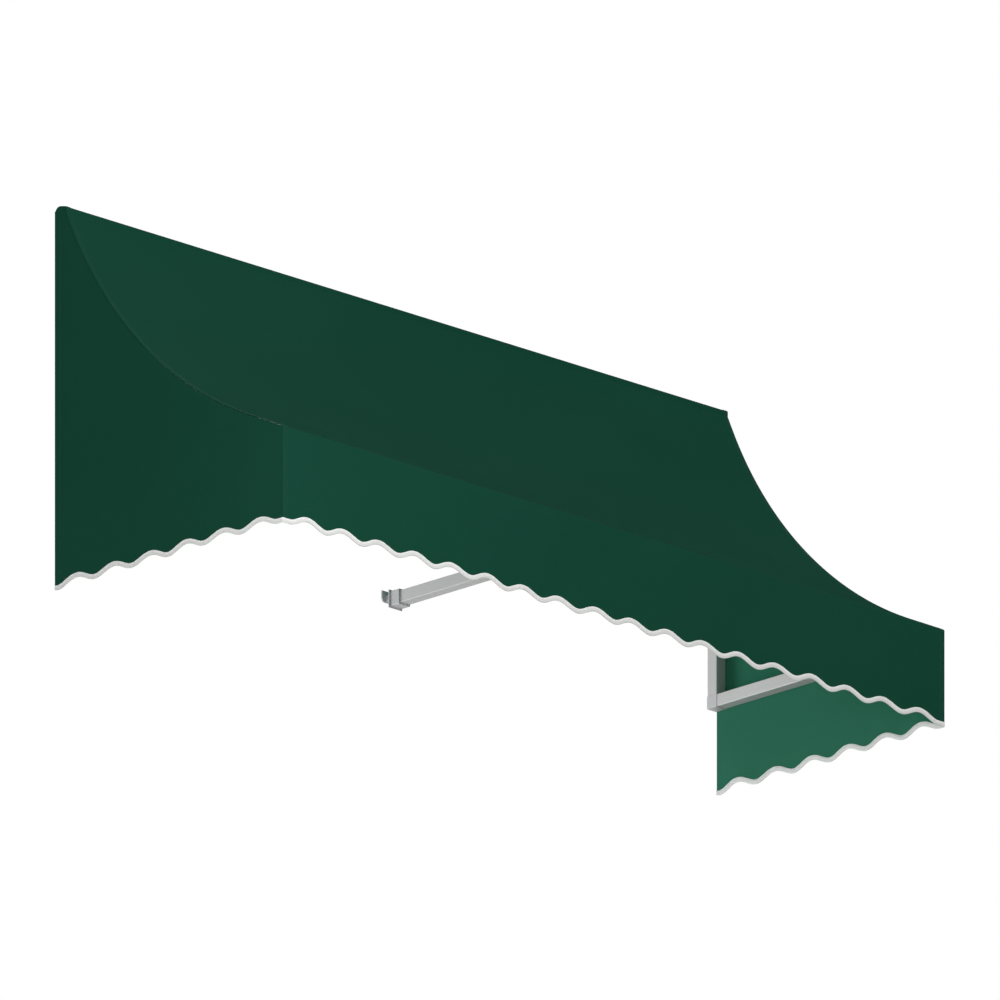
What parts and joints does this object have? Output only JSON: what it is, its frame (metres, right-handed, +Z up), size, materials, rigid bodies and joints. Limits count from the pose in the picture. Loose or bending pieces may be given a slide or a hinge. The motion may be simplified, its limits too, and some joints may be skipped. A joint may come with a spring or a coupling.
{
  "type": "window awning",
  "caption": "Fixed window awning: hollow-curved fabric canopy with fabric ends, scalloped and bound valance, and a square-tube frame with wall brackets.",
  "frame": {"origin": "middle of the header rail's flat back face, on the wall plane", "axes": "+X to the right as seen from the street, +Y into the wall, +Z up; the awning stands out towards -Y"},
  "size_m": [1.8318, 0.6229, 0.7823],
  "materials": {
    "fabric": "woven forest-green awning canvas, matt, lighter on its inner side",
    "trim": "white woven binding tape, folded and stitched",
    "tube": "satin mill-finish tube",
    "casting": "cast and tumbled",
    "plastic": "moulded, grey",
    "screw": "zinc-plated"
  },
  "bodies": {
    "root": {"cover": "fabric", "end_panel_left": "fabric", "end_panel_right": "fabric", "edge_binding": "trim", "header_rail": "tube", "front_rail": "tube", "rafter_left": "tube", "rafter_centre": "tube", "rafter_right": "tube", "post_left": "tube", "post_right": "tube", "arm_left": "tube", "arm_centre": "tube", "arm_right": "tube", "corner_block_left": "casting", "corner_block_right": "casting", "centre_bracket": "casting", "rail_spigot_left": "casting", "rail_spigot_centre": "casting", "rail_spigot_right": "casting", "header_angle_left": "casting", "header_angle_centre": "casting", "header_angle_right": "casting", "header_plug_left": "plastic", "header_plug_right": "plastic", "rail_plug_left": "plastic", "rail_plug_right": "plastic", "post_screw_left": "screw", "post_screw_right": "screw", "arm_screw_left": "screw", "arm_screw_centre": "screw", "arm_screw_right": "screw", "spigot_screw_left": "screw", "spigot_screw_centre": "screw", "spigot_screw_right": "screw", "rail_bolt_left": "screw", "rail_bolt_centre": "screw", "rail_bolt_right": "screw", "header_screw_left": "screw", "header_screw_centre": "screw", "header_screw_right": "screw"}
  },
  "joints": []
}
